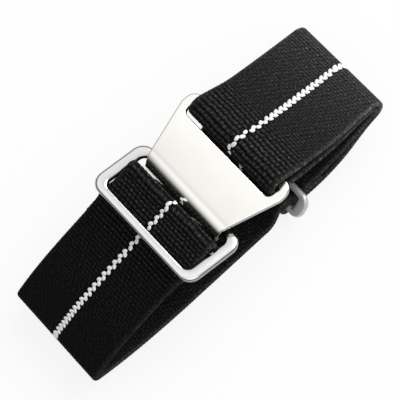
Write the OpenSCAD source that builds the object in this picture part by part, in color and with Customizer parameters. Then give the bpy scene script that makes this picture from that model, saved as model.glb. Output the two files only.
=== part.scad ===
// Elastic watch band with a hook clasp, lying closed on its back run.
// The strap's length runs along X, its width along Y, and the clasp is on top.
// Every length of webbing is a side view, drawn as a path in X and Z and
// extruded across the strap's width.

/* [Webbing] */
// Width of the elastic webbing
webbing_w = 22; // [18:0.5:24]
// Thickness of one layer of webbing
webbing_t = 1.2; // [1:0.05:1.4]
// Gap between two layers that lie on each other
layer_gap = 0.03; // [0.02:0.01:0.1]

/* [Loop] */
// Outside length of the closed loop
loop_len = 69.6; // [64:0.2:78]
// Height of the hook plate's underside above the table
clasp_z = 12.4; // [12:0.1:15]
// Height of the middle of the left bend
left_bend_z = 4.2; // [3.6:0.1:6]
// Height of the middle of the right bend
right_bend_z = 6.7; // [6:0.1:8]
// Smallest inside radius of a bend in the webbing
bend_in_r = 0.25; // [0.15:0.05:0.5]

/* [Ring] */
// Outside length of the ring, along the strap
ring_len = 12.6; // [11.8:0.1:14]
// Width of the ring's two long bars
ring_bar_w = 1.75; // [1.2:0.05:2]
// Width of the ring's two short sides
ring_side_w = 2.35; // [1.8:0.05:3]
// Thickness of the ring
ring_t = 1.3; // [1:0.05:1.5]
// Outer corner radius of the ring
ring_corner_r = 3; // [2:0.1:3.5]
// Inner corner radius of the ring
ring_inner_r = 1; // [0.6:0.1:1.6]
// Diameter of the centre bar that the strap is sewn round
centre_bar_d = 1.3; // [1:0.05:1.5]
// Distance from the hooked bar's middle to the centre bar's middle
centre_bar_back = 4.66; // [4.5:0.02:5]
// Slope of the ring, rising away from the hook plate
ring_pitch = 14; // [10:0.5:16]
// Clearance beside the webbing in the ring, on each side
ring_side_gap = 0.15; // [0.1:0.05:0.4]

/* [Hook plate] */
// Thickness of the hook plate's sheet
sheet_t = 1; // [0.8:0.05:1.2]
// Outside radius of the hook's bend
hook_out_r = 2.8; // [2.6:0.1:3.4]
// Straight length of the hook below its bend
hook_tail = 1.1; // [0.7:0.1:1.6]
// Length of the plate from the hook's outside to the end bar's far edge
plate_len = 15.5; // [14.5:0.1:18]
// Width of the plate at the hook
hook_w = 18.9; // [16:0.1:20]
// Width of the material beside the slot, at each ear
ear_w = 1.9; // [1.4:0.1:2.6]
// Clearance beside the webbing in the plate's slot, on each side
slot_side_gap = 0.3; // [0.15:0.05:0.5]
// Free gap in the slot, in front of the webbing
slot_front_gap = 1.25; // [0.8:0.05:1.8]
// Width of the end bar that the webbing passes round
end_bar_w = 1.8; // [1.4:0.1:2]
// Corner radius of the plate's ears
ear_r = 2.2; // [1:0.1:2.6]

/* [Slider] */
// Position of the slider's sewn bar along the strap
slider_x = 10.7; // [9.5:0.1:12]
// Diameter of the slider's two bars
slider_bar_d = 1.1; // [0.9:0.05:1.3]
// Width of the slider's two short sides
slider_side_w = 2; // [1.4:0.1:2.6]
// Thickness of the slider's short sides
slider_t = 1; // [0.8:0.05:1.1]
// Slope at which the slider stands on the layers that pass through it
slider_pitch = 42; // [41:0.5:44]
// Outside length of the slider, along its slope
slider_len = 5; // [4.8:0.1:5.6]
// Clearance beside the webbing in the slider, on each side
slider_side_gap = 0.3; // [0.15:0.05:0.5]

/* [Sewn ends] */
// Clearance round a metal bar inside its fold of webbing
bar_gap = 0.04; // [0.02:0.01:0.08]
// Stitches in one row
stitch_count = 9; // [5:1:12]
// Thickness of the thread
thread_t = 0.2; // [0.15:0.05:0.3]

/* [Hidden] */

$fn = 64;
half_t = webbing_t / 2;
layer_step = webbing_t + layer_gap;
cut = 0.01;

// Hook plate
hook_x = -2.9;
hook_in_r = hook_out_r - sheet_t;
hook_bend = [hook_x + hook_out_r, clasp_z + sheet_t - hook_out_r];
plate_end_x = hook_x + plate_len;
end_bar = [plate_end_x - end_bar_w / 2, clasp_z + sheet_t / 2];
end_bar_reach = norm([end_bar_w / 2 - sheet_t / 2, 0]) + sheet_t / 2;
slot_fold_in = end_bar_reach + bar_gap;
slot_fold_mid = slot_fold_in + half_t;
slot_front_x = end_bar[0] - slot_fold_in - webbing_t - slot_front_gap;
slot_back_x = plate_end_x - end_bar_w;
slot_w = webbing_w + 2 * slot_side_gap;
plate_w = slot_w + 2 * ear_w;
straight_ear = 3.2;

// Ring, placed from the bar that the hook holds
bar_round = 0.45;
hooked_bar_gap = 0.3;
hooked_bar = [hook_x + sheet_t + hooked_bar_gap + ring_bar_w / 2, hook_bend[1] + 0.1];
ring_dir = [-cos(ring_pitch), sin(ring_pitch)];
centre_bar = hooked_bar + centre_bar_back * ring_dir;
ring_inner_w = webbing_w + 2 * ring_side_gap;
ring_w = ring_inner_w + 2 * ring_side_w;
far_bar = hooked_bar + (ring_len - ring_bar_w) * ring_dir;
ring_fold_in = centre_bar_d / 2 + bar_gap;
ring_fold_mid = ring_fold_in + half_t;

// Slider: the sewn bar lies low, and the free bar stands above the strap
slider_fold_in = slider_bar_d / 2 + bar_gap;
slider_fold_mid = slider_fold_in + half_t;
wave_mid = slider_fold_mid + layer_step;
sewn_bar = [slider_x, half_t + slider_fold_mid];
wave_drop = 34;
slider_span = slider_len - slider_bar_d;
slider_inner_w = webbing_w + 2 * slider_side_gap;

// Bends at the two ends of the loop
left_mid_r = bend_in_r + half_t;
left_bend_c = [-loop_len / 2 + left_mid_r + half_t, left_bend_z];
left_in_dir = 208;
left_out_dir = 342;
inner_mid_r = bend_in_r + half_t + 0.08;
outer_mid_r = inner_mid_r + layer_step;
right_bend_c = [loop_len / 2 - outer_mid_r - half_t, right_bend_z];
right_in_dir = -12;
right_out_dir = -171;

// Directions and points where one length of webbing meets the next
function dir(a) = [cos(a), sin(a)];
function ccw_point(c, r, a) = c + r * dir(a - 90);
function cw_point(c, r, a) = c + r * dir(a + 90);

ring_top_dir = 32;
under_dir = 12;
under_gap = 0.42;
ring_under = [far_bar[0] + 0.4, far_bar[1] - ring_t / 2 - under_gap - half_t];
ring_join = [far_bar[0] - 4.3, ring_under[1] - 1.05];
ring_join_dir = 14;
slot_in_dir = 160;
slot_out_dir = -20;
slot_leg = 2.2;
outer_slot_end = ccw_point(end_bar, slot_fold_mid, slot_in_dir) - slot_leg * dir(slot_in_dir);
inner_slot_end = ccw_point(end_bar, slot_fold_mid, slot_out_dir) + slot_leg * dir(slot_out_dir);
flat_start = [-12, half_t];
wave_start = [slider_x - 5.7, half_t];
wave_up_dir = 50;
wave_end = [slider_x + 3.9, half_t + 2 * layer_step + 0.2];
wave_end_dir = 12;
tab_end = [slider_x + 11, half_t + 1.3];
tab_end_dir = 10;
tail_first = 3;
tail_last = 10;

function bezier(p0, p1, p2, p3, n) =
    [for (i = [0:n]) let (s = i / n, q = 1 - s)
        q * q * q * p0 + 3 * q * q * s * p1 + 3 * q * s * s * p2 + s * s * s * p3];

// Curve that leaves p0 in direction a0 and reaches p1 in direction a1
function flow(p0, a0, p1, a1, k0, k1, n) =
    bezier(p0, p0 + k0 * dir(a0), p1 - k1 * dir(a1), p1, n);

// Points on an arc, by the angle seen from its middle
function arc(c, r, a0, a1, n) = [for (i = [0:n]) c + r * dir(a0 + (a1 - a0) * i / n)];

function tail(list) = [for (i = [1:len(list) - 1]) list[i]];
function unit(v) = v / norm(v);
function turned(v) = [-v[1], v[0]];

// Sideways direction at point i of a path with known end directions
function side(p, i, a0, a1) =
    let (last = len(p) - 1)
    i == 0 ? turned(dir(a0)) :
    i == last ? turned(dir(a1)) :
    let (u = unit(p[i] - p[i - 1]), v = unit(p[i + 1] - p[i]), m = unit(u + v))
    turned(m) / (m * u);

function ribbon_outline(p, a0, a1, h) =
    let (last = len(p) - 1)
    concat([for (i = [0:last]) p[i] + h * side(p, i, a0, a1)],
           [for (i = [last:-1:0]) p[i] - h * side(p, i, a0, a1)]);

// One length of webbing along a path, across the strap's whole width
module webbing(p, a0, a1) {
    color([0.08, 0.08, 0.09]) rotate([90, 0, 0])
        linear_extrude(height = webbing_w, center = true)
            polygon(ribbon_outline(p, a0, a1, half_t));
}

// Round hole along Y, that a bar turns in
module bar_hole(c, r) {
    translate([c[0], 0, c[1]]) rotate([90, 0, 0])
        cylinder(h = webbing_w + 2, r = r + cut, center = true);
}

module round_bar(d, length) {
    rotate([90, 0, 0]) cylinder(h = length, d = d, center = true);
}

module rounded_box(l, w, r) {
    for (sx = [-1, 1], sy = [-1, 1])
        translate([sx * (l / 2 - r), sy * (w / 2 - r)]) circle(r);
    square([l - 2 * r, w], center = true);
    square([l, w - 2 * r], center = true);
}

// Plan of the hook plate: straight ears, then tapered sides down to the hook
module plate_plan() {
    ear_x = plate_end_x - straight_ear;
    difference() {
        polygon([[hook_x, -hook_w / 2], [ear_x, -plate_w / 2], [plate_end_x, -plate_w / 2],
                 [plate_end_x, plate_w / 2], [ear_x, plate_w / 2], [hook_x, hook_w / 2]]);
        for (s = [-1, 1]) translate([plate_end_x, s * plate_w / 2]) ear_corner(s);
    }
}

// The part of a square corner that lies outside its round
module ear_corner(s) {
    difference() {
        square(2 * ear_r, center = true);
        translate([-ear_r, -s * ear_r]) circle(ear_r);
        translate([-2 * ear_r, 0]) square([2 * ear_r, 4 * ear_r], center = true);
        translate([0, -s * 2 * ear_r]) square([4 * ear_r, 2 * ear_r], center = true);
    }
}

// Side view of the sheet: flat plate, round bend and the hook's short tail
module plate_profile() {
    tip_z = hook_bend[1] - hook_tail;
    translate([hook_bend[0], clasp_z]) square([plate_end_x - hook_bend[0], sheet_t]);
    intersection() {
        difference() {
            translate(hook_bend) circle(hook_out_r);
            translate(hook_bend) circle(hook_in_r);
        }
        translate([hook_x - 1, hook_bend[1]]) square([hook_out_r + 1, hook_out_r + 1]);
    }
    translate([hook_x, tip_z + sheet_t / 2])
        square([sheet_t, hook_bend[1] - tip_z - sheet_t / 2]);
    translate([hook_x + sheet_t / 2, tip_z + sheet_t / 2]) circle(sheet_t / 2);
}

module hook_plate() {
    color([0.93, 0.92, 0.89]) {
        difference() {
            intersection() {
                rotate([90, 0, 0]) linear_extrude(height = plate_w + 2, center = true)
                    plate_profile();
                translate([0, 0, clasp_z - 6]) linear_extrude(height = 12) plate_plan();
            }
            translate([slot_front_x, -slot_w / 2, clasp_z - 1])
                cube([plate_end_x + 1 - slot_front_x, slot_w, sheet_t + 2]);
        }
        rotate([90, 0, 0]) linear_extrude(height = slot_w + 0.6, center = true)
            end_bar_section();
    }
}

module end_bar_section() {
    for (x = [slot_back_x + sheet_t / 2, plate_end_x - sheet_t / 2])
        translate([x, end_bar[1]]) circle(sheet_t / 2);
    translate([slot_back_x + sheet_t / 2, clasp_z]) square([end_bar_w - sheet_t, sheet_t]);
}

// Ring with rounded long bars, square short sides and a round centre bar
module ring_frame() {
    mid = (hooked_bar + far_bar) / 2;
    bar_x = (ring_len - ring_bar_w) / 2;
    color([0.82, 0.82, 0.82]) {
        translate([mid[0], 0, mid[1]]) rotate([0, ring_pitch, 0]) {
            intersection() {
                linear_extrude(height = ring_t, center = true) ring_plan();
                rotate([90, 0, 0]) linear_extrude(height = ring_w + 2, center = true)
                    rounded_box(ring_len, ring_t, bar_round);
            }
            for (s = [-1, 1]) translate([s * bar_x, 0, 0]) rotate([90, 0, 0])
                linear_extrude(height = ring_inner_w - 2 * ring_inner_r, center = true)
                    rounded_box(ring_bar_w, ring_t, bar_round);
        }
        translate([centre_bar[0], 0, centre_bar[1]])
            round_bar(centre_bar_d, ring_inner_w + 1);
    }
}

// Plan of the ring without the straight lengths of its two long bars
module ring_plan() {
    difference() {
        rounded_box(ring_len, ring_w, ring_corner_r);
        rounded_box(ring_len - 2 * ring_bar_w, ring_inner_w, ring_inner_r);
        square([ring_len + 1, ring_inner_w - 2 * ring_inner_r], center = true);
    }
}

module slider_frame() {
    side_y = slider_inner_w / 2;
    color([0.72, 0.72, 0.71]) translate([sewn_bar[0], 0, sewn_bar[1]])
        rotate([0, -slider_pitch, 0]) {
            round_bar(slider_bar_d, slider_inner_w + 1);
            translate([slider_span, 0, 0]) round_bar(slider_bar_d, slider_inner_w + 1);
            for (s = [-1, 1]) slider_side(s, side_y);
        }
}

// Short side of the slider, with the corners of the frame rounded off
module slider_side(s, side_y) {
    reach = slider_bar_d / 2;
    linear_extrude(height = slider_t, center = true) intersection() {
        translate([-reach, min(s * side_y, s * (side_y + slider_side_w))])
            square([slider_span + 2 * reach, slider_side_w]);
        translate([slider_span / 2, 0])
            rounded_box(slider_span + 2 * reach, 2 * (side_y + slider_side_w), 1.9);
    }
}

module ring_fold() {
    top_a = ring_top_dir + 90;
    top = cw_point(centre_bar, ring_fold_mid, ring_top_dir);
    under_a = -166;
    under = cw_point(centre_bar, ring_fold_mid, under_a);
    path = concat(
        ring_top_path(),
        tail(flow(ring_under, under_dir, top, ring_top_dir, 1.4, 1.3, 8)),
        tail(arc(centre_bar, ring_fold_mid, top_a, under_a + 90, 16)),
        tail(flow(under, under_a, ring_tail_path()[0], 180 + under_dir, 1.3, 1.3, 6)),
        tail(ring_tail_path()));
    difference() {
        webbing(path, ring_join_dir, 180 + ring_join_dir);
        bar_hole(centre_bar, ring_fold_in);
    }
}

// The strap under the ring's far bar, and the sewn tail that lies below it
function ring_top_path() =
    flow(ring_join, ring_join_dir, ring_under, under_dir, 1.8, 1.6, 7);
function ring_tail_path() = let (p = ring_top_path())
    [for (i = [len(p) - 1:-1:1])
        p[i] - layer_step * side(p, i, ring_join_dir, under_dir)];

module top_left_run() {
    start = ccw_point(left_bend_c, left_mid_r, left_in_dir);
    webbing(flow(ring_join, 180 + ring_join_dir, start, left_in_dir, 7, 7, 24),
            180 + ring_join_dir, left_in_dir);
}

module left_bend() {
    webbing(arc(left_bend_c, left_mid_r, left_in_dir - 90, left_out_dir - 90, 16),
            left_in_dir, left_out_dir);
}

module back_run() {
    start = ccw_point(left_bend_c, left_mid_r, left_out_dir);
    webbing(concat(flow(start, left_out_dir, flat_start, 0, 7, 7, 20), [wave_start]),
            left_out_dir, 0);
}

// The running strap, where it climbs over the sewn bar and dips under the free bar
module slider_wave() {
    up = cw_point(sewn_bar, wave_mid, wave_up_dir);
    down = cw_point(sewn_bar, wave_mid, -wave_drop);
    webbing(concat(
        flow(wave_start, 0, up, wave_up_dir, 2.2, 1.4, 10),
        tail(arc(sewn_bar, wave_mid, wave_up_dir + 90, 90 - wave_drop, 12)),
        tail(flow(down, -wave_drop, wave_end, wave_end_dir, 0.9, 1, 8))), 0, wave_end_dir);
}

// The strap's sewn end: under the bar, round it and back on itself
module slider_fold() {
    down = cw_point(sewn_bar, slider_fold_mid, -wave_drop);
    s = sewn_path();
    t = sewn_tail_path();
    path = concat(
        [for (i = [len(s) - 1:-1:0]) s[i]],
        tail(arc(sewn_bar, slider_fold_mid, 270, 90 - wave_drop, 20)),
        tail(flow(down, -wave_drop, t[0], 2, 0.7, 0.7, 6)),
        tail(t));
    difference() {
        webbing(path, 180 + tab_end_dir, tail_end_dir());
        bar_hole(sewn_bar, slider_fold_in);
    }
}

// The sewn layer that leads to the bar, and the tail that lies on it
function sewn_path() = flow([slider_x, half_t], 0, tab_end, tab_end_dir, 6, 4, 14);
function sewn_tail_path() = let (p = sewn_path())
    [for (i = [tail_first:tail_last]) p[i] + layer_step * side(p, i, 0, tab_end_dir)];
function tail_end_dir() = let (p = sewn_path(), v = p[tail_last + 1] - p[tail_last - 1])
    atan2(v[1], v[0]);

module outer_bottom_run() {
    start = cw_point(right_bend_c, outer_mid_r, right_out_dir);
    webbing(flow(start, right_out_dir, tab_end, 180 + tab_end_dir, 4, 3.6, 12),
            right_out_dir, 180 + tab_end_dir);
}

module inner_bottom_run() {
    start = cw_point(right_bend_c, inner_mid_r, right_out_dir);
    webbing(flow(start, right_out_dir, wave_end, 180 + wave_end_dir, 6, 6, 20),
            right_out_dir, 180 + wave_end_dir);
}

module outer_right_bend() {
    webbing(arc(right_bend_c, outer_mid_r, right_in_dir + 90, right_out_dir + 90, 20),
            right_in_dir, right_out_dir);
}

module inner_right_bend() {
    webbing(arc(right_bend_c, inner_mid_r, right_in_dir + 90, right_out_dir + 90, 14),
            right_in_dir, right_out_dir);
}

module outer_top_run() {
    end = cw_point(right_bend_c, outer_mid_r, right_in_dir);
    webbing(flow(outer_slot_end, slot_in_dir - 180, end, right_in_dir, 5.5, 6, 20),
            slot_in_dir - 180, right_in_dir);
}

module inner_top_run() {
    end = cw_point(right_bend_c, inner_mid_r, right_in_dir);
    webbing(flow(inner_slot_end, slot_out_dir, end, right_in_dir, 5, 6, 20),
            slot_out_dir, right_in_dir);
}

// The webbing where it dives through the slot and comes back under the end bar
module slot_fold() {
    difference() {
        webbing(concat([outer_slot_end],
                       arc(end_bar, slot_fold_mid, slot_in_dir - 90, slot_out_dir + 270, 20),
                       [inner_slot_end]), slot_in_dir, slot_out_dir);
        bar_hole(end_bar, slot_fold_in);
    }
}

// A row of short stitches across the strap, lying on a face of the webbing
module stitch_row(p, a, face) {
    margin = 1.6;
    step = (webbing_w - 2 * margin) / stitch_count;
    color([0.12, 0.12, 0.13]) translate([p[0], 0, p[1]]) rotate([0, -a, 0])
        for (i = [0:stitch_count - 1])
            translate([0, -webbing_w / 2 + margin + (i + 0.5) * step,
                       face * (half_t + thread_t / 2)])
                cube([thread_t * 1.6, step * 0.72, thread_t], center = true);
}

module ring_stitching() {
    path = ring_tail_path();
    for (i = [1, 4]) {
        step = path[i + 1] - path[i];
        stitch_row((path[i] + path[i + 1]) / 2, atan2(step[1], step[0]) - 180, -1);
    }
}

module slider_stitching() {
    path = sewn_tail_path();
    for (i = [3, 5]) {
        step = path[i + 1] - path[i];
        stitch_row((path[i] + path[i + 1]) / 2, atan2(step[1], step[0]), 1);
    }
}

hook_plate();
ring_frame();
slider_frame();
ring_fold();
ring_stitching();
top_left_run();
left_bend();
back_run();
slider_wave();
slider_fold();
slider_stitching();
outer_bottom_run();
inner_bottom_run();
outer_right_bend();
inner_right_bend();
outer_top_run();
inner_top_run();
slot_fold();
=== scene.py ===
"""Elastic watch band with a hook clasp, made as a Blender add-on and run as a script.

The band lies closed on its back run. Its length runs along X, its width along Y.
"""
import math

import bpy
import numpy as np
from bpy.props import FloatProperty, FloatVectorProperty, IntProperty, PointerProperty
from mathutils import Matrix, Vector


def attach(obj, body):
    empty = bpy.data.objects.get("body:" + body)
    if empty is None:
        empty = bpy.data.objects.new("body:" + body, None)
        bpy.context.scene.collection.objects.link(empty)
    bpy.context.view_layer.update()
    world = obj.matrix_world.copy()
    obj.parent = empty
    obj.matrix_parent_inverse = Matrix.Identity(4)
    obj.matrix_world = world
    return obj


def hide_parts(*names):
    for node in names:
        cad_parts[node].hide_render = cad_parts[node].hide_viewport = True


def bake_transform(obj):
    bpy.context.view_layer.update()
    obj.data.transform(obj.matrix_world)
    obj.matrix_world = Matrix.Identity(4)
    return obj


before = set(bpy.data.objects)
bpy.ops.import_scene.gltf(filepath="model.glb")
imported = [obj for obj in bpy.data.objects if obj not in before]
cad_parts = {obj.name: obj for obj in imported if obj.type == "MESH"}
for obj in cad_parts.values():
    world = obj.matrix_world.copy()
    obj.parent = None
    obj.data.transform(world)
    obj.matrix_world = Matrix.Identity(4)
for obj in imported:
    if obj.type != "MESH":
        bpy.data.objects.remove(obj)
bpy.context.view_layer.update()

bl_info = {
    "name": "Stretch Watch Band",
    "version": (1, 0, 0),
    "blender": (4, 5, 0),
    "location": "View3D > Sidebar > Watch Band",
    "description": "Builds an elastic watch band with a hook plate, a ring and a slider",
    "category": "Object",
}

MM = 0.001

# Places in the side view, in millimetres, as X and Z
HOOK_BEND = np.array([-0.15, 10.35])
HOOKED_BAR = np.array([-0.725, 10.7])
CENTRE_BAR = np.array([-5.24657, 11.82737])
SHOULDER = np.array([-3.99, 12.45])
FAR_BAR = np.array([-11.25277, 13.32492])
END_BAR = np.array([11.7, 12.9])
SLOT_DIP = np.array([9.5, 12.8])
SEWN_BAR = np.array([10.7, 1.79])
LEFT_BEND = np.array([-33.35, 4.2])
RIGHT_BEND = np.array([32.04, 6.7])

# Radii of the webbing's middle round its bars and bends
RING_FOLD_R = 1.29
SLOT_FOLD_R = 1.54
SEWN_FOLD_R = 1.19
WAVE_R = 2.42
LEFT_R = 0.85
INNER_R = 0.93
OUTER_R = 2.16

# Half the webbing's thickness, and the distance between the middles of two layers
HALF = 0.6
LAYER = 1.23

# Ends of the webbing's runs
FAR_BAR_HALF = 0.65
FAR_BAR_GAP = 0.17
UNDER_BAR = np.array([FAR_BAR[0] + 0.4, FAR_BAR[1] - FAR_BAR_HALF - FAR_BAR_GAP - HALF])
LEAD_START = np.array([FAR_BAR[0] - 4.3, UNDER_BAR[1] - 1.05])
FLAT_START = np.array([-12.0, HALF])
FLAT_END = np.array([5.0, HALF])
WAVE_END = np.array([14.6, HALF + 2 * LAYER + 0.2])
TAB_START = np.array([SEWN_BAR[0], HALF])
TAB_END = np.array([21.7, HALF + 1.3])
SLOT_RUN = 2.2

# X at which a run is split between two bodies
STRAP_SPLIT = -20.0
INNER_SPLIT = 23.0
OUTER_SPLIT = 27.6


def smooth_step(x, low, high):
    t = np.clip((x - low) / (high - low), 0, 1)
    return t * t * (3 - 2 * t)


# Side view curves of the webbing's middle: directions in degrees, lengths in millimetres

def heading(a):
    return np.array([math.cos(math.radians(a)), math.sin(math.radians(a))])


def ccw_point(c, r, a):
    """Point of a circle where an anticlockwise path runs in direction a."""
    return c + r * heading(a - 90)


def cw_point(c, r, a):
    """Point of a circle where a clockwise path runs in direction a."""
    return c + r * heading(a + 90)


def flow(p0, a0, p1, a1, k0, k1, n=60):
    """Smooth curve that leaves p0 in direction a0 and reaches p1 in direction a1."""
    s = np.linspace(0, 1, n + 1)[:, None]
    q = 1 - s
    h0, h1 = p0 + k0 * heading(a0), p1 - k1 * heading(a1)
    return q**3 * p0 + 3 * q * q * s * h0 + 3 * q * s * s * h1 + s**3 * p1


def arc(c, r, a0, a1, n=48):
    a = np.radians(np.linspace(a0, a1, n + 1))
    return c + r * np.stack([np.cos(a), np.sin(a)], 1)


def join(*parts):
    return np.concatenate([parts[0]] + [p[1:] for p in parts[1:]])


def sides(p, a0, a1):
    """Direction across the webbing's thickness at each point of a curve."""
    t = np.gradient(p, axis=0)
    t[0], t[-1] = heading(a0), heading(a1)
    t /= np.linalg.norm(t, axis=1)[:, None]
    return np.stack([-t[:, 1], t[:, 0]], 1)


def ring_lead(n):
    """The top left run's way under the ring's far bar."""
    return flow(LEAD_START, 14, UNDER_BAR, 12, 1.8, 1.6, n)


def sewn_tab(n):
    """The end that is sewn round the slider's bar."""
    return flow(TAB_START, 0, TAB_END, 10, 6, 4, n)


def webbing_routes():
    """Curve, first and last direction of every length of webbing."""
    lead = ring_lead(42)
    tail = (lead - LAYER * sides(lead, 14, 12))[::-1][6:]
    top, low = (cw_point(CENTRE_BAR, RING_FOLD_R, a) for a in (32, -166))
    routes = {"ring_fold": (join(
        lead, flow(UNDER_BAR, 12, top, 32, 1.4, 1.3),
        flow(top, 32, SHOULDER, -88, 1.3, 1.0, 26),
        flow(SHOULDER, -88, low, -166, 1.2, 0.9, 26),
        flow(low, -166, tail[0], 192, 1.3, 1.3), tail), 14, 194)}

    left_in, left_out = (ccw_point(LEFT_BEND, LEFT_R, a) for a in (208, 342))
    routes["top_left_run"] = (flow(LEAD_START, 194, left_in, 208, 7, 7, 90), 194, 208)
    routes["left_bend"] = (arc(LEFT_BEND, LEFT_R, 118, 252), 208, 342)
    routes["back_run"] = (join(flow(left_out, 342, FLAT_START, 0, 7, 7, 90),
                               np.linspace(FLAT_START, FLAT_END, 40)), 342, 0)

    up, down = (cw_point(SEWN_BAR, WAVE_R, a) for a in (50, -34))
    routes["slider_wave"] = (join(
        flow(FLAT_END, 0, up, 50, 2.2, 1.4), arc(SEWN_BAR, WAVE_R, 140, 56),
        flow(down, -34, WAVE_END, 12, 0.9, 1)), 0, 12)

    sewn = sewn_tab(140)
    fold_down = cw_point(SEWN_BAR, SEWN_FOLD_R, -34)
    folded = (sewn + LAYER * sides(sewn, 0, 10))[30:101]
    d = folded[-1] - folded[-2]
    routes["slider_fold"] = (join(
        sewn[::-1], arc(SEWN_BAR, SEWN_FOLD_R, 270, 56),
        flow(fold_down, -34, folded[0], 2, 0.7, 0.7), folded),
        190, math.degrees(math.atan2(d[1], d[0])))

    outer_low, inner_low = (cw_point(RIGHT_BEND, r, -171) for r in (OUTER_R, INNER_R))
    routes["outer_bottom_run"] = (flow(outer_low, -171, TAB_END, 190, 4, 3.6), -171, 190)
    routes["inner_bottom_run"] = (flow(inner_low, -171, WAVE_END, 192, 6, 6, 90), -171, 192)
    routes["outer_right_bend"] = (arc(RIGHT_BEND, OUTER_R, 78, -81), -12, -171)
    routes["inner_right_bend"] = (arc(RIGHT_BEND, INNER_R, 78, -81), -12, -171)

    fold_in, fold_out = (ccw_point(END_BAR, SLOT_FOLD_R, a) for a in (160, -20))
    outer_slot = fold_in - SLOT_RUN * heading(160)
    inner_slot = fold_out + SLOT_RUN * heading(-20)
    outer_in, inner_in = (cw_point(RIGHT_BEND, r, -12) for r in (OUTER_R, INNER_R))
    routes["outer_top_run"] = (flow(outer_slot, -20, outer_in, -12, 5.5, 6, 90), -20, -12)
    routes["inner_top_run"] = (flow(inner_slot, -20, inner_in, -12, 5, 6, 90), -20, -12)
    routes["slot_fold"] = (join(
        np.linspace(outer_slot, fold_in, 20),
        flow(fold_in, 160, SLOT_DIP, 268, 1.5, 1.1, 30),
        flow(SLOT_DIP, 268, fold_out, 340, 1.1, 1.5, 30),
        np.linspace(fold_out, inner_slot, 20)), 160, -20)
    return routes


# The lengths in their order along the one strip: whether the curve runs against that
# order, the rib pitch, how ribbed it looks and the painted light on its yarn, lighter on
# runs that tilt towards the key lamp at +X, each the same all along or at its start and
# end, and between which distances the pitch and ribs change
WEAVE = [
    ("ring_fold", True, 0.78, 1.0, (0.4, 0.03)),
    ("top_left_run", False, (0.71, 0.38), (0.2, 0.1), 0.03, (2, 19)),
    ("left_bend", False, 0.38, 0.1, (0.03, 0.2)),
    ("back_run", False, (0.4, 0.62), 0.1, (0.35, 0.25), (0, 6)),
    ("slider_wave", False, 0.66, 0.3, 0.25),
    ("inner_bottom_run", True, 0.6, 0.1, (0.25, 0.4)),
    ("inner_right_bend", True, 0.56, 0.1, 0.4),
    ("inner_top_run", True, (0.56, 0.86), (0.1, 1.0), (0.4, 0.38), (13, 17)),
    ("slot_fold", True, 0.88, 1.0, 0.38),
    ("outer_top_run", False, (0.86, 0.52), (1.0, 0.12), (0.38, 1.0), (0.5, 4.7)),
    ("outer_right_bend", False, 0.52, 0.1, (1.0, 0.5)),
    ("outer_bottom_run", False, (0.58, 0.6), 0.1, (0.5, 0.3)),
    ("slider_fold", False, 0.68, 0.4, 0.3),
]

# Piece, the length of webbing that it shows, the X where its part of that begins or ends,
# and its body, or the two bodies that it joins and the X where it leaves each
PIECES = [
    ("ring_fold", "ring_fold", None, "strap"),
    ("top_left", "top_left_run", None, ("strap", "left_end", -15.6, -33.0)),
    ("left_bend", "left_bend", None, "left_end"),
    ("back_left", "back_run", (None, STRAP_SPLIT), ("strap", "left_end", -20.0, -33.2)),
    ("back_middle", "back_run", (STRAP_SPLIT, None), ("strap", "slider_tab", -20.0, 5.0)),
    ("over_slider", "slider_wave", None, "slider_tab"),
    ("inner_bottom_slider", "inner_bottom_run", (None, INNER_SPLIT),
     ("strap", "slider_tab", 23.0, 14.6)),
    ("inner_bottom_right", "inner_bottom_run", (INNER_SPLIT, None),
     ("strap", "right_end", 23.0, 32.0)),
    ("inner_right_bend", "inner_right_bend", None, "right_end"),
    ("inner_top", "inner_top_run", None, ("strap", "right_end", 14.4, 32.0)),
    ("slot_fold", "slot_fold", None, "strap"),
    ("outer_top", "outer_top_run", None, ("strap", "right_end", 14.4, 32.0)),
    ("outer_right_bend", "outer_right_bend", None, "right_end"),
    ("outer_bottom_right", "outer_bottom_run", (OUTER_SPLIT, None),
     ("strap", "right_end", 27.6, 31.8)),
    ("outer_bottom_slider", "outer_bottom_run", (None, OUTER_SPLIT),
     ("strap", "slider_tab", 27.6, 21.7)),
    ("sewn_end", "slider_fold", None, "slider_tab"),
]

# Zones along X where the band's width changes, and by what share of itself
BAR_ZONE, BAR_SHARE = (-13.4, -11.6, -10.1, -8.8), 0.022
SLIDER_ZONE, SLIDER_SHARE = (5.0, 9.0, 14.0, 20.0), -0.02
SLOT_ZONE, SLOT_SHARE, SLOT_OFFSET = (10.0, 18.0), -0.022, -0.3
BEND_ZONE, BEND_SHARE, NEAR_SIDE = (22.0, 33.0), -0.065, 4.0
TOP_RUNS_ABOVE, LOW_RUNS_BELOW = 9.0, 6.0


def between(x, a, b, c, d):
    """0 before a, 1 from b to c, 0 past d."""
    return smooth_step(x, a, b) * (1 - smooth_step(x, c, d))


def settle(x, y, z):
    """Place across the band, where its metal or its stretch widens or narrows it."""
    past, bend = smooth_step(x, *SLOT_ZONE), smooth_step(x, *BEND_ZONE)
    near = np.clip(-y / NEAR_SIDE, 0, 1)
    tuck = between(x, *SLIDER_ZONE) * (z < LOW_RUNS_BELOW)
    bar = between(x, *BAR_ZONE) * (z > TOP_RUNS_ABOVE)
    wide = 1 + BAR_SHARE * bar + SLOT_SHARE * past + SLIDER_SHARE * tuck
    return y * wide * (1 + BEND_SHARE * bend * near) + SLOT_OFFSET * past


def fade(ends, t):
    """From the first to the last of two numbers, or one number all along."""
    first, last = np.broadcast_to(ends, 2)
    return first + (last - first) * t


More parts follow.
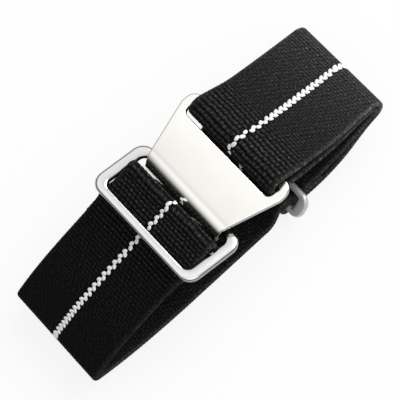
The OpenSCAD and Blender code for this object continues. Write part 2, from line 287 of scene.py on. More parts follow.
class Length:
    """One length of webbing: its place, ribs and look at each distance along it."""

    def __init__(self, route, first_rib, reverse, pitch, coarse, tone, change=(0, 1)):
        p, a0, a1 = route
        if reverse:
            p, a0, a1 = p[::-1], a1 + 180, a0 + 180
        self.points = p
        n = sides(p, a0, a1)
        self.along = np.stack([n[:, 1], -n[:, 0]], 1)
        step = np.linalg.norm(np.diff(p, axis=0), axis=1)
        self.s = np.concatenate([[0], np.cumsum(step)])
        self.size = self.s[-1]
        t = smooth_step(self.s, *change)
        self.pitch, self.coarse = fade(pitch, t), fade(coarse, t)
        # Painted light along the length, lighter on runs that tilt towards the key lamp
        self.tone = fade(tone, (self.s / self.size) ** 2)
        per_mm = 2 / (self.pitch[1:] + self.pitch[:-1])
        self.rib = first_rib + np.concatenate([[0], np.cumsum(step * per_mm)])

    def place(self, s, y, h):
        """Points of the band at distance s, across y and thickness h, in metres."""
        inside = np.clip(s, 0, self.size)
        px, pz = (np.interp(inside, self.s, self.points[:, i]) for i in (0, 1))
        tx, tz = (np.interp(inside, self.s, self.along[:, i]) for i in (0, 1))
        size = np.hypot(tx, tz)
        tx, tz = tx / size, tz / size
        over = s - inside
        return np.stack([px + tx * over - tz * h, settle(px, y, pz),
                         pz + tz * over + tx * h], 1) * MM

    def limits(self, part):
        """Distances between which a part of the length lies."""
        if not part:
            return [0.0, self.size]
        x = self.points[:, 0]
        order = np.argsort(x)
        cut_x = part[1] if part[0] is None else part[0]
        at = float(np.interp(cut_x, x[order], self.s[order]))
        first_part = (x[0] < x[-1]) == (part[0] is None)
        return [0.0, at] if first_part else [at, self.size]


def all_lengths():
    """Every length, with one count of ribs that runs on through them all."""
    routes, lengths, rib = webbing_routes(), {}, 0.0
    for name, *look in WEAVE:
        lengths[name] = Length(routes[name], rib, *look)
        rib = lengths[name].rib[-1]
    return lengths


# Settings that a user would change

class BandWebbing(bpy.types.PropertyGroup):
    width: FloatProperty(
        name="Width", description="Width of the webbing",
        default=0.022, unit="LENGTH")
    thickness: FloatProperty(
        name="Thickness", description="Thickness of one layer",
        default=0.0012, unit="LENGTH")
    rib_relief: FloatProperty(
        name="Rib relief", description="Height of a cross rib",
        default=0.00007, unit="LENGTH")
    bead_relief: FloatProperty(
        name="Yarn relief", description="Height of a yarn's crown",
        default=0.00006, unit="LENGTH")
    yarn_pitch: FloatProperty(
        name="Yarn pitch", description="Spacing of yarns across the strap",
        default=0.0009, unit="LENGTH")
    line_offset: FloatProperty(
        name="Line offset", description="Distance of a bead row from the centre",
        default=0.00026, unit="LENGTH")
    bead_width: FloatProperty(
        name="Bead width", description="Width of a white bead",
        default=0.00098, unit="LENGTH")


class BandMetal(bpy.types.PropertyGroup):
    sheet: FloatProperty(
        name="Sheet", description="Thickness of the hook plate",
        default=0.001, unit="LENGTH")
    edge: FloatProperty(
        name="Edge round", description="Rounding of the plate's edges",
        default=0.0003, unit="LENGTH")
    ring_length: FloatProperty(
        name="Ring length", description="Outside length of the ring",
        default=0.0126, unit="LENGTH")
    ring_width: FloatProperty(
        name="Ring width", description="Outside width of the ring",
        default=0.027, unit="LENGTH")
    ring_thickness: FloatProperty(
        name="Ring thickness", description="Thickness of the ring",
        default=0.0013, unit="LENGTH")
    ring_slope: FloatProperty(
        name="Ring slope", description="Slope of the ring",
        default=math.radians(14), subtype="ANGLE")
    slider_length: FloatProperty(
        name="Slider length", description="Outside length of the slider",
        default=0.005, unit="LENGTH")
    slider_width: FloatProperty(
        name="Slider width", description="Outside width of the slider",
        default=0.0269, unit="LENGTH")
    slider_slope: FloatProperty(
        name="Slider slope", description="Slope of the slider",
        default=math.radians(-42), subtype="ANGLE")


class BandColours(bpy.types.PropertyGroup):
    yarn: FloatVectorProperty(
        name="Yarn", description="Colour of the webbing's crowns",
        default=(0.0156, 0.0154, 0.0154), subtype="COLOR")
    # Painted shade: the colour deep in the grooves between the yarns
    groove_shade: FloatVectorProperty(
        name="Groove", description="Colour between the yarns",
        default=(0.0006, 0.0006, 0.0007), subtype="COLOR")
    line: FloatVectorProperty(
        name="Line", description="Colour of the centre line",
        default=(0.86, 0.86, 0.85), subtype="COLOR")
    plate: FloatVectorProperty(
        name="Plate", description="Colour of the hook plate",
        default=(0.99, 0.978, 0.937), subtype="COLOR")
    ring: FloatVectorProperty(
        name="Ring", description="Colour of the ring and slider",
        default=(0.87, 0.862, 0.85), subtype="COLOR")


class BandSettings(bpy.types.PropertyGroup):
    webbing: PointerProperty(type=BandWebbing)
    metal: PointerProperty(type=BandMetal)
    colours: PointerProperty(type=BandColours)
    stitches: IntProperty(name="Stitches", description="Stitches in one row", default=9)


# Modelling steps

def leave_edit():
    bpy.ops.object.mode_set(mode="OBJECT")


def clear_selection():
    if bpy.context.mode != "OBJECT":
        leave_edit()
    bpy.ops.object.select_all(action="DESELECT")


def only(obj):
    clear_selection()
    obj.select_set(True)
    bpy.context.view_layer.objects.active = obj


def edit(obj):
    only(obj)
    bpy.ops.object.mode_set(mode="EDIT")


def pick_all():
    bpy.ops.mesh.select_all(action="SELECT")


def pick(obj, test):
    """In edit mode, select the vertices whose place passes the test."""
    bpy.ops.mesh.select_all(action="DESELECT")
    bpy.ops.mesh.select_mode(type="VERT")
    leave_edit()
    for v in obj.data.vertices:
        v.select = bool(test(v.co))
    bpy.ops.object.mode_set(mode="EDIT")


def finish_modifier(obj, kind, **values):
    only(obj)
    modifier = obj.modifiers.new(kind.title(), kind)
    for key, value in values.items():
        setattr(modifier, key, value)
    bpy.ops.object.modifier_apply(modifier=modifier.name)


def copies(obj, count, offset):
    """Repeat a shape at an even distance."""
    finish_modifier(obj, "ARRAY", count=count, use_relative_offset=False,
                    use_constant_offset=True, constant_offset_displace=offset)


def face_out():
    """In edit mode, turn all faces outwards and leave."""
    pick_all()
    bpy.ops.mesh.normals_make_consistent(inside=False)
    leave_edit()


def outward(obj):
    edit(obj)
    pick_all()
    bpy.ops.mesh.remove_doubles(threshold=1e-6)
    face_out()


def coordinates(obj):
    co = np.empty(len(obj.data.vertices) * 3, np.float32)
    obj.data.vertices.foreach_get("co", co)
    return co.reshape(-1, 3).astype(float)


def put_coordinates(obj, co):
    obj.data.vertices.foreach_set("co", co.astype(np.float32).ravel())
    obj.data.update()


def note(obj, name, values):
    """Keep one number for each vertex, for its finish to read."""
    layer = obj.data.attributes.new(name, "FLOAT", "POINT")
    layer.data.foreach_set("value", values.astype(np.float32))


def blank(name):
    """New object with an empty mesh, in edit mode."""
    clear_selection()
    bpy.ops.mesh.primitive_plane_add(size=1, location=(0, 0, 0))
    obj = bpy.context.object
    obj.name = name
    edit(obj)
    pick_all()
    bpy.ops.mesh.delete(type="VERT")
    return obj


def add_rectangle(x0, x1, width):
    """In edit mode, add a flat rectangle, and leave it selected."""
    bpy.ops.mesh.select_all(action="DESELECT")
    bpy.ops.mesh.primitive_plane_add(size=1, location=(0, 0, 0))
    bpy.ops.transform.resize(value=(x1 - x0, width, 1))
    bpy.ops.transform.translate(value=((x0 + x1) / 2, 0, 0))


def round_corners(radius, segments):
    bpy.ops.mesh.bevel(
        affect="VERTICES", offset_type="OFFSET", offset=radius, segments=segments)


def cut(places, normal):
    """In edit mode, cut the whole mesh across a normal at each distance along it."""
    for place in places:
        pick_all()
        bpy.ops.mesh.bisect(plane_co=Vector(normal) * place, plane_no=normal)


# Angles of edges that are rounded and that stay smooth, and how the painted shade on a rim
# darkens
SHARP = math.radians(50)
SMOOTH_BELOW = math.radians(40)
RIM_DARK, RIM_DEEP = 0.7, 0.8


def note_painted_rim_shade(obj, half, shaded_places):
    """Note each vertex's painted shade: more the further it lies down a sheet's rounded
    edge, and full in the places given as shaded.
    """
    co = coordinates(obj)
    depth = 1 - np.abs(co[:, 2]) / half
    value = RIM_DARK * np.sqrt(np.clip(depth / RIM_DEEP, 0, 1))
    note(obj, "painted_rim_shade", np.maximum(value, shaded_places(co[:, 0], co[:, 1], co[:, 2], depth)))


def give(obj, material, how, slot, *nodes):
    """Give a piece its finish, hide the nodes it stands for, and attach it to its body; a
    piece between two bodies is only baked in place.
    """
    obj.data.materials.clear()
    obj.data.materials.append(bpy.data.materials[material])
    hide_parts(*nodes)
    if isinstance(how, str):
        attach(obj, how)
    else:
        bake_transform(obj)


# Finishes

def empty_tree(owner):
    owner.use_nodes = True
    owner.node_tree.nodes.clear()
    return owner.node_tree


def feed(node, **values):
    """Set or link inputs, whose names have _ for a space here, and set what is no input."""
    for key, value in values.items():
        name = key.replace("_", " ")
        if name not in node.inputs:
            setattr(node, key, value)
        elif isinstance(value, bpy.types.NodeSocket):
            node.id_data.links.new(value, node.inputs[name])
        else:
            node.inputs[name].default_value = value


def add(tree, kind, out=0, **values):
    """Add a node, and return the output that is wanted of it."""
    node = tree.nodes.new("ShaderNode" + kind)
    feed(node, **values)
    return node.outputs[out] if node.outputs else None


def new_material(name):
    tree = empty_tree(bpy.data.materials.new(name))
    surface = add(tree, "BsdfPrincipled")
    add(tree, "OutputMaterial", Surface=surface)
    return tree, surface.node


def attribute(tree, name):
    return add(tree, "Attribute", "Fac", attribute_name=name)


def mapping(tree, vector, scale, rotation=(0, 0, 0)):
    return add(tree, "Mapping", Vector=vector, Scale=scale, Rotation=rotation)


def noise(tree, vector, scale=1.0, detail=2.0, rough=0.5):
    return add(tree, "TexNoise", "Fac", Vector=vector, Scale=scale, Detail=detail,
               Roughness=rough)


def bump(tree, height, strength, distance):
    return add(tree, "Bump", Height=height, Strength=strength, Distance=distance)


def colour_of(value):
    return (*((value,) * 3 if isinstance(value, (int, float)) else value), 1)


def ramp(tree, factor, low, high, at=(0.0, 1.0)):
    """Colour from low to high, each a colour or a grey, as the factor goes between at."""
    colour = add(tree, "ValToRGB", Fac=factor)
    ends = colour.node.color_ramp.elements
    ends[0].position, ends[1].position = at
    ends[0].color, ends[1].color = colour_of(low), colour_of(high)
    return colour


def multiply(tree, colour, factor, share=None):
    """Colour times factor, wholly or by a linked share."""
    mix = add(tree, "Mix", data_type="RGBA", blend_type="MULTIPLY").node
    amount, first, second = mix.inputs[0], mix.inputs[6], mix.inputs[7]
    amount.default_value = 1.0
    if share:
        tree.links.new(share, amount)
    tree.links.new(colour, first)
    tree.links.new(factor, second)
    return mix.outputs[2]


def mix_shaders(tree, share, first, second):
    mix = add(tree, "MixShader", Fac=share).node
    tree.links.new(first, mix.inputs[1])
    tree.links.new(second, mix.inputs[2])
    return mix.outputs[0]


def webbing_finish(colours):
    """Black yarn: painted shade between the ribs, slanting strands with painted shade
    between them, and a few painted glints.
    """
    tree, shader = new_material("black_elastic_yarn")
    # Painted shade: the yarn darkens to the groove colour in the hollows between its crowns
    tint = ramp(tree, attribute(tree, "relief"), colours.groove_shade, colours.yarn,
                at=(0.3, 0.95))
    # Painted light: lighter or darker along the strip, by how the runs face the key lamp
    light = ramp(tree, attribute(tree, "tone"), 0.75, (4.9, 4.85, 4.78))
    depth = ramp(tree, attribute(tree, "ribbed"), 0.96, 1)
    uv = add(tree, "UVMap", uv_map="along_and_across")
    slant = mapping(tree, uv, (2.3, 1.7, 1.0), (0, 0, 0.3))
    strand = noise(tree, slant, detail=4.0, rough=0.68)
    loops = noise(tree, mapping(tree, uv, (2.0, 2.6, 1.0)), detail=1.0, rough=0.4)
    colour = multiply(tree, tint, light)
    # Slanting strands: the weave's own pattern, with painted shade near black between
    # strands
    colour = multiply(tree, colour, ramp(tree, strand, 0.02, 2.4, at=(0.32, 0.7)), depth)
    # Painted glints: a few bright specks on the yarn
    colour = multiply(tree, colour, ramp(tree, loops, 1, 4.5, at=(0.62, 0.8)), depth)
    feed(shader, Base_Color=colour, Roughness=ramp(tree, strand, 0.62, 0.85),
         Normal=bump(tree, strand, strength=0.6, distance=0.00008),
         Specular_IOR_Level=0.03, Sheen_Weight=0.02, Sheen_Roughness=0.4)


def line_finish(colours):
    """White yarn beads, with painted shade that greys them in their creases."""
    tree, shader = new_material("white_line_yarn")
    # Painted shade: the beads grey towards their roots
    crease_shade = tuple(0.42 * c for c in colours.line)
    tint = ramp(tree, attribute(tree, "relief"), crease_shade, colours.line, at=(0.0, 0.55))
    place = add(tree, "TexCoord", "Object")
    fibre = noise(tree, place, scale=5200.0, detail=3.0, rough=0.6)
    colour = multiply(tree, tint, ramp(tree, fibre, 0.84, 1.0, at=(0.3, 0.6)))
    feed(shader, Base_Color=colour, Roughness=0.6, Sheen_Weight=0.15,
         Normal=bump(tree, fibre, strength=0.35, distance=0.00004))


def metal_finish(name, colour, rough, grain, rim_shade, painted_reflection=(), bare=1.0):
    """Steel with painted shade on its rims, an uneven polish and a fine grain across the
    band.

    Painted reflection lists how bright the steel is painted at places along the band, in
    millimetres.
    """
    tree, shader = new_material(name)
    place = add(tree, "TexCoord", "Object")
    cloud = noise(tree, place, scale=260.0, detail=3.0, rough=0.55)
    tone = ramp(tree, cloud, tuple(0.975 * c for c in colour), colour, at=(0.3, 0.7))
    # Painted shade along the rims, and in places that lie in the dark
    painted_rim_shade = ramp(tree, attribute(tree, "painted_rim_shade"), 1, rim_shade, at=(0.05, 1.0))
    tone = multiply(tree, tone, painted_rim_shade)
    # Painted reflection: brightness painted along the band
    if painted_reflection:
        low, high = painted_reflection[0][0], painted_reflection[-1][0]
        along = add(tree, "SeparateXYZ", "X", Vector=place)
        share = add(tree, "MapRange", Value=along, From_Min=low * MM, From_Max=high * MM)
        level = ramp(tree, share, painted_reflection[0][1], painted_reflection[-1][1])
        for x, value in painted_reflection[1:-1]:
            stop = level.node.color_ramp.elements.new((x - low) / (high - low))
            stop.color = colour_of(value)
        tone = multiply(tree, tone, level)
    lines = noise(tree, mapping(tree, place, (9000.0, 500.0, 9000.0)))
    feed(shader, Base_Color=tone, Roughness=ramp(tree, cloud, *rough, at=(0.35, 0.7)),
         Normal=bump(tree, lines, strength=grain, distance=0.00001), Metallic=bare)


def thread_finish():
    """Black thread with a light twist."""
    tree, shader = new_material("black_sewing_thread")
    twist = noise(tree, add(tree, "TexCoord", "Object"), scale=9000.0)
    tint = ramp(tree, twist, 0.006, (0.05, 0.05, 0.052), at=(0.3, 0.75))
    feed(shader, Base_Color=tint, Roughness=0.55,
         Normal=bump(tree, twist, strength=0.6, distance=0.00003))


# Webbing

# Places across the band, closer together at its edges
EDGE_STEPS = np.array([10.4, 10.62, 10.82, 10.94, 11.0])
INNER_COLUMNS = 92
ROWS_PER_RIB = 4

# Uneven ribs: size of each sway, and how fast it runs across and along the band
SWAYS = ((0.07, 0.84, 0.35), (0.03, 2.2, -1.3), (0.04, 4.6, 2.1))

# Distances from the band's middle: the white line's bed, the selvedge and its rim, which
# gets a painted highlight
LINE_BED = (0.5, 0.95)
SELVEDGE = (9.7, 10.2)
SELVEDGE_RIM = (10.3, 10.9)
SCALLOP_ZONE = (10.5, 11.0)
EDGE_ROUND = 0.5
LINE_BED_DEEP = 0.035
SCALLOP = 0.05

# How much wider the ribbed webbing is, and how much narrower the ring's sewn tail
RIBBED_WIDER = 0.011
TAIL_NARROWER = 0.05
TAIL_ZONE = (1.0, 7.0)


def column_places():
    inner = np.linspace(-EDGE_STEPS[0], EDGE_STEPS[0], INNER_COLUMNS + 1)
    return np.concatenate([-EDGE_STEPS[:0:-1], inner, EDGE_STEPS[1:]])


def weave(rib, y, coarse, face, settings):
    """Thickness of the half strip at a rib count and place across, and its crown."""
    rib_high, bead_high = settings.rib_relief / MM, settings.bead_relief / MM
    turns = 2 * math.pi * y / (settings.yarn_pitch / MM)
    sway = sum(size * np.sin(across * y + along * rib) for size, across, along in SWAYS)
    ribs = np.cos(2 * math.pi * (rib + (0.5 + 0.5 * coarse) * sway))
    dash = np.cos(turns + 2.5 * rib + 1.4 * np.sin(0.31 * rib + 0.5 * y)) * face
    loose = 0.85 + 0.15 * np.sin(1.7 * rib + 2.3 * y) * np.sin(0.9 * rib - 3.1 * y + 1.3)
    ribbed = (0.62 * ribs + 0.28 * dash * (1 + ribs)) * rib_high
    fine = (0.26 * ribs + 0.2 * dash) * bead_high
    far = np.abs(y)
    middle = smooth_step(far, *LINE_BED)
    flatter = (1 - 0.65 * smooth_step(far, *SELVEDGE)) * middle
    wave = (coarse * ribbed + (1 - coarse) * fine) * loose * flatter
    half = settings.thickness / MM / 2
    reach = np.clip((settings.width / MM / 2 - far) / EDGE_ROUND, 0, 1)
    edge = 0.32 + 0.68 * np.sqrt(1 - (1 - reach) ** 2)
    high = max(rib_high, bead_high, 1e-6)
    thick = half - high - LINE_BED_DEEP * (1 - middle) + wave
    crown = 0.5 + 0.5 * wave / high
    # Painted highlight: a lighter crown along the selvedge's rim
    crown = crown * middle + 0.35 * (1 - middle) + 0.35 * smooth_step(far, *SELVEDGE_RIM)
    return np.minimum(thick, half) * edge, crown


def lay_webbing(name, length, part, settings):
    """A flat woven strip, thickened, given its weave and laid along its length."""
    rib0, rib1 = np.interp(length.limits(part), length.s, length.rib)
    rows = max(4, math.ceil(ROWS_PER_RIB * (rib1 - rib0)))
    across = column_places()
    columns = len(across) - 1
    clear_selection()
    bpy.ops.mesh.primitive_grid_add(
        x_subdivisions=rows, y_subdivisions=columns, size=2, location=(0, 0, 0))
    strip = bpy.context.object
    strip.name = name
    finish_modifier(strip, "SOLIDIFY", thickness=1.0, offset=0.0)
    co = coordinates(strip)
    rib = rib0 + (co[:, 0] + 1) / 2 * (rib1 - rib0)
    s = np.interp(rib, length.rib, length.s)
    column = np.rint((co[:, 1] + 1) / 2 * columns).astype(int)
    y = across[np.clip(column, 0, columns)]
    face = np.sign(co[:, 2])
    coarse = np.interp(s, length.s, length.coarse)
    thick, crown = weave(rib, y, coarse, face, settings)
    notch = (1 - np.cos(2 * math.pi * rib)) / 2
    scallop = SCALLOP * smooth_step(np.abs(y), *SCALLOP_ZONE) * notch
    wide = 1 + RIBBED_WIDER * coarse
    if name.endswith("ring_fold"):
        wide -= TAIL_NARROWER * (1 - smooth_step(s, *TAIL_ZONE))
    put_coordinates(strip, length.place(s, (y - np.sign(y) * scallop) * wide, face * thick))
    note(strip, "relief", crown)
    # Painted light along the strip, for the finish to read
    note(strip, "tone", np.interp(s, length.s, length.tone))
    note(strip, "ribbed", coarse)
    uv = strip.data.uv_layers[0]
    uv.name = "along_and_across"
    corner = np.empty(len(strip.data.loops), np.int32)
    strip.data.loops.foreach_get("vertex_index", corner)
    uv.data.foreach_set("uv", np.stack([rib, y], 1)[corner].astype(np.float32).ravel())
    outward(strip)
    bpy.ops.object.shade_smooth()
    return strip


def lay_all(lay, kind, material, settings):
    """Lay one kind of piece on every length."""
    lengths = all_lengths()
    for name, node, part, how in PIECES:
        piece = lay(kind + name, lengths[node], part, settings)
        give(piece, material, how, "webbing", node)


class BAND_OT_webbing(bpy.types.Operator):
    """Weave every length of the elastic webbing and lay it on its route"""
    bl_idname = "band.webbing"
    bl_label = "Weave the webbing"

    def execute(self, context):
        lay_all(lay_webbing, "webbing_", "black_elastic_yarn", context.scene.band.webbing)
        return {"FINISHED"}


class BAND_OT_centre_line(bpy.types.Operator):
    """Lay the two alternating rows of white beads on both faces of the webbing"""
    bl_idname = "band.centre_line"
    bl_label = "Lay the white centre line"

    def execute(self, context):
        lay_all(lay_beads, "white_line_", "white_line_yarn", context.scene.band.webbing)
        return {"FINISHED"}


# Distances at which copies of a bead or stitch are made, before they are laid out
APART = 4
ROWS_APART = 8

# A bead's root inside the webbing and its crown above it, and the pitch of tight beads
BEAD_ROOT = 0.22
BEAD_CROWN = 0.014
TIGHT_PITCH = 0.62


def lay_beads(name, length, part, settings):
    """Domes, one on each rib, left and right in turn, on both faces of a length."""
    rib0, rib1 = np.interp(length.limits(part), length.s, length.rib)
    first, end = math.ceil(rib0 - 0.5), math.ceil(rib1 - 0.5)
    clear_selection()
    bpy.ops.mesh.primitive_uv_sphere_add(
        segments=14, ring_count=8, radius=1, location=(0, 0, 0))
    bead = bpy.context.object
    bead.name = name
    edit(bead)
    pick_all()
    bpy.ops.mesh.bisect(
        plane_co=(0, 0, 0), plane_no=(0, 0, 1), clear_inner=True, use_fill=True)
    copies(bead, end - first, (APART, 0, 0))
    copies(bead, 2, (0, ROWS_APART, 0))
    co = coordinates(bead)
    index = np.rint(co[:, 0] / APART)
    below = co[:, 1] > ROWS_APART / 2
    lx, ly, lz = co[:, 0] - APART * index, co[:, 1] - ROWS_APART * below, co[:, 2]
    rib = first + index
    row = np.where(np.mod(rib, 2) < 0.5, 1.0, -1.0)
    middle = np.interp(rib + 0.04 * row, length.rib, length.s)
    pitch = np.interp(middle, length.s, length.pitch)
    coarse = np.interp(middle, length.s, length.coarse)
    light = np.clip(3 * length.tone[-1], 0, 1)
    tight = np.clip((TIGHT_PITCH - pitch) / 0.1, 0, 1) * light
    long = 0.2 + 0.42 * pitch + 0.1 * tight
    wide = settings.bead_width / MM / 2 * (1.1 - 0.12 * coarse + 0.07 * np.sin(2.7 * rib))
    off = settings.line_offset / MM * (1 - 0.2 * coarse)
    off = off * (1 + 0.15 * np.sin(1.9 * rib + 1))
    s = middle + lx * long + (0.12 + 0.14 * tight) * ly * row
    h = settings.thickness / MM / 2 - BEAD_ROOT + (BEAD_ROOT + BEAD_CROWN) * lz
    put_coordinates(bead, length.place(s, row * off + ly * wide, np.where(below, -h, h)))
    note(bead, "relief", np.clip(lz, 0, 1))
    outward(bead)
    bpy.ops.object.shade_smooth()
    return bead


# A row's margin, a stitch's half length as a share of its step, its bow and its cuts
STITCH_MARGIN, STITCH_SHARE = 1.6, 0.36
STITCH_BOW, STITCH_SUNK = 0.12, 0.02
THREAD_WIDE, THREAD_HIGH = 0.15, 0.1
STITCH_CUTS = (-0.9, -0.6, -0.2, 0.2, 0.6, 0.9)


class BAND_OT_stitches(bpy.types.Operator):
    """Sew the two folded ends with rows of short stitches"""
    bl_idname = "band.stitches"
    bl_label = "Sew the folded ends"

    def execute(self, context):
        lead, sewn = ring_lead(7), sewn_tab(14)
        under_lead = (lead - LAYER * sides(lead, 14, 12))[:0:-1]
        over_tab = (sewn + LAYER * sides(sewn, 0, 10))[3:11]
        for name, path, rows, side, body, node in (
                ("stitches_at_ring", under_lead, (1, 4), -1, "strap", "ring_stitching"),
                ("stitches_at_slider", over_tab, (3, 5), 1, "slider_tab",
                 "slider_stitching")):
            stitches = sew_rows(name, path, rows, side, context.scene.band)
            give(stitches, "black_sewing_thread", body, "thread", node)
        return {"FINISHED"}


def sew_rows(name, path, rows, side, settings):
    """Bowed threads in rows on one side of a path, copied from one stitch."""
    width = settings.webbing.width / MM
    step = (width - 2 * STITCH_MARGIN) / settings.stitches
    clear_selection()
    bpy.ops.mesh.primitive_cylinder_add(
        vertices=8, radius=1, depth=2, location=(0, 0, 0), end_fill_type="NGON")
    stitch = bpy.context.object
    stitch.name = name
    edit(stitch)
    cut(STITCH_CUTS, (0, 0, 1))
    copies(stitch, settings.stitches, (0, 0, APART))
    copies(stitch, len(rows), (ROWS_APART, 0, 0))
    co = coordinates(stitch)
    row = np.where(co[:, 0] > ROWS_APART / 2, 1, 0)
    index = np.rint(co[:, 2] / APART)
    ly = co[:, 2] - APART * index
    taper = np.sqrt(np.clip(1 - (np.abs(ly) / 1.02) ** 6, 0.05, 1))
    along = (co[:, 0] - ROWS_APART * row) * THREAD_WIDE * taper
    up = THREAD_HIGH * co[:, 1] * taper - STITCH_BOW * ly ** 4 + THREAD_HIGH
    y = -width / 2 + STITCH_MARGIN + (index + 0.5 + ly * STITCH_SHARE) * step
    out = np.zeros((len(co), 3))
    for r, i in enumerate(rows):
        d = path[i + 1] - path[i]
        d = d / np.linalg.norm(d) * side
        mid = (path[i] + path[i + 1]) / 2
        here = row == r
        h = side * (HALF - STITCH_SUNK + up[here])
        a = along[here]
        out[here] = np.stack([mid[0] + d[0] * a - d[1] * h, y[here],
                              mid[1] + d[1] * a + d[0] * h], 1) * MM
    put_coordinates(stitch, out)
    outward(stitch)
    bpy.ops.object.shade_smooth()
    return stitch


# Metal

# The hook plate's outline in millimetres: its bend, lip, ears and slot
HOOK_BEND_R = 2.55
HOOK_TAIL = 0.5
BEND_STEPS = 14
LIP_X, LIP_HALF, TAPER = -2.9, 9.45, 0.30488
EAR_X, EAR_WIDTH, EAR_SHOULDER = 9.4, 26.4, 0.6
PLATE_END = 12.6
SLOT_FRONT, SLOT_BACK, SLOT_WIDTH = 8.31, 10.8, 22.6
NEAR = 0.01

# Radius and steps of its corners, and where its underside and lip sides, which lie in the
# dark, get painted shade
EAR_CORNER, LIP_CORNER = (2.2, 10), (0.45, 4)
SLOT_FRONT_CORNER, SLOT_BACK_CORNER = (1.0, 8), (0.3, 3)
LIP_SIDE_X, LIP_SIDE_DEEP = -1.5, 0.12


def plate_half_width(u):
    """Half width of the plate at distance u past the bend."""
    x = HOOK_BEND[0] + u
    if u < 0:
        x = HOOK_BEND[0] - HOOK_BEND_R * math.sin(min(-u / HOOK_BEND_R, math.pi / 2))
    return min(EAR_WIDTH / 2, LIP_HALF + TAPER * (x - LIP_X))


class BAND_OT_hook_plate(bpy.types.Operator):
    """Cut the plate flat with its slot, thicken it, round its edges and bend the hook"""
    bl_idname = "band.hook_plate"
    bl_label = "Bend the hook plate"

    def execute(self, context):
        metal = context.scene.band.metal
        curve = HOOK_BEND_R * math.pi / 2
        u0, u1 = -curve - HOOK_TAIL, PLATE_END - HOOK_BEND[0]
        s0, s1 = SLOT_FRONT - HOOK_BEND[0], SLOT_BACK - HOOK_BEND[0]
        ear = EAR_X - HOOK_BEND[0]
        bends = [-curve * i / BEND_STEPS for i in range(BEND_STEPS + 1)]
        plate = blank("bent_hook_plate")
        add_rectangle(u0, u1, EAR_WIDTH)
        cut(bends + [ear, ear - EAR_SHOULDER, ear + EAR_SHOULDER], (1, 0, 0))
        leave_edit()
        co = coordinates(plate)
        for c in co:
            c[1] = math.copysign(plate_half_width(c[0]), c[1])
        put_coordinates(plate, co)
        edit(plate)
        pick(plate, lambda c: c.x > u1 - NEAR)
        round_corners(*EAR_CORNER)
        pick(plate, lambda c: c.x < u0 + NEAR)
        round_corners(*LIP_CORNER)
        pick_all()
        bpy.ops.mesh.dissolve_faces(use_verts=False)
        pick_all()
        bpy.ops.mesh.delete(type="ONLY_FACE")
        add_rectangle(s0, s1, SLOT_WIDTH)
        for x, corner in ((s0, SLOT_FRONT_CORNER), (s1, SLOT_BACK_CORNER)):
            pick(plate, lambda c: abs(abs(c.y) - SLOT_WIDTH / 2) < NEAR
                 and abs(c.x - x) < NEAR)
            round_corners(*corner)
        pick_all()
        bpy.ops.mesh.delete(type="ONLY_FACE")
        pick_all()
        bpy.ops.mesh.fill()
        cut(bends, (1, 0, 0))
        face_out()
        if plate.data.polygons[0].normal.z < 0:
            edit(plate)
            bpy.ops.mesh.flip_normals()
            leave_edit()
        finish_modifier(plate, "SOLIDIFY", thickness=metal.sheet / MM, offset=0.0)
        finish_modifier(plate, "BEVEL", limit_method="ANGLE", angle_limit=SHARP,
                        width=metal.edge / MM, segments=4, use_clamp_overlap=False,
                        loop_slide=False)
        # Painted shade on the rims, and in full under the bend and lip and on the lip's
        # side edges, which lie in the dark
        note_painted_rim_shade(plate, metal.sheet / MM / 2, lambda x, y, z, depth:
                 (x < 0) & ((z < 0) | ((x < LIP_SIDE_X) & (depth > LIP_SIDE_DEEP))))
        self.bend(plate, curve)
        outward(plate)
        bpy.ops.object.shade_smooth_by_angle(angle=SMOOTH_BELOW)
        give(plate, "satin_plate_steel", "hook", "plate_steel", "hook_plate")
        return {"FINISHED"}

    def bend(self, plate, curve):
        """Roll the flat lip down round the bend, and put the plate in its place."""
        co = coordinates(plate)
        u, z = co[:, 0].copy(), co[:, 2].copy()
        turn = np.clip(-u / HOOK_BEND_R, 0, math.pi / 2)
        drop = np.maximum(-u - curve, 0)
        r = HOOK_BEND_R + z
        co[:, 0] = HOOK_BEND[0] + np.maximum(u, 0) - r * np.sin(turn)
        co[:, 2] = HOOK_BEND[1] + r * np.cos(turn) - drop
        put_coordinates(plate, co * MM)


# Painted shade on a loop's inner edge: how dark it begins, how soon it is black, and how
# far it reaches
INNER_SHADE, INNER_DEEP, INNER_REACH = 0.22, 0.5, 0.6


def frame_loop(name, length, width, bar, side, thick, r_out, r_in, edge):
    """Flat metal loop: two rounded outlines bridged, thickened and edge-rounded."""
    loop = blank(name)
    for x, w, radius in ((length, width, r_out),
                         (length - 2 * bar, width - 2 * side, r_in)):
        add_rectangle(-x / 2, x / 2, w)
        round_corners(radius, 10)
        bpy.ops.mesh.delete(type="ONLY_FACE")
    pick_all()
    bpy.ops.mesh.bridge_edge_loops()
    face_out()
    finish_modifier(loop, "SOLIDIFY", thickness=thick, offset=0.0)
    finish_modifier(loop, "BEVEL", limit_method="ANGLE", angle_limit=SHARP, width=edge,
                    segments=8)
    # Painted shade on the rims, and a painted dark reflection on the inner walls, which
    # face the webbing
    note_painted_rim_shade(loop, thick / 2, lambda x, y, z, depth:
             np.clip(INNER_SHADE + depth / INNER_DEEP, 0, 1)
             * (np.abs(x) < length / 2 - INNER_REACH * bar)
             * (np.abs(y) < width / 2 - INNER_REACH * side))
    return loop


def cross_bar(middle, d, length):
    """Round bar across the band."""
    clear_selection()
    bpy.ops.mesh.primitive_cylinder_add(
        vertices=40, radius=d / 2, depth=length, location=(middle[0], 0, middle[1]),
        rotation=(math.pi / 2, 0, 0))
    bar = bpy.context.object
    # An empty painted rim shade, so that the joined ring keeps its own
    bar.data.attributes.new("painted_rim_shade", "FLOAT", "POINT")
    bpy.ops.object.transform_apply(location=True, rotation=True, scale=True)
    return bar


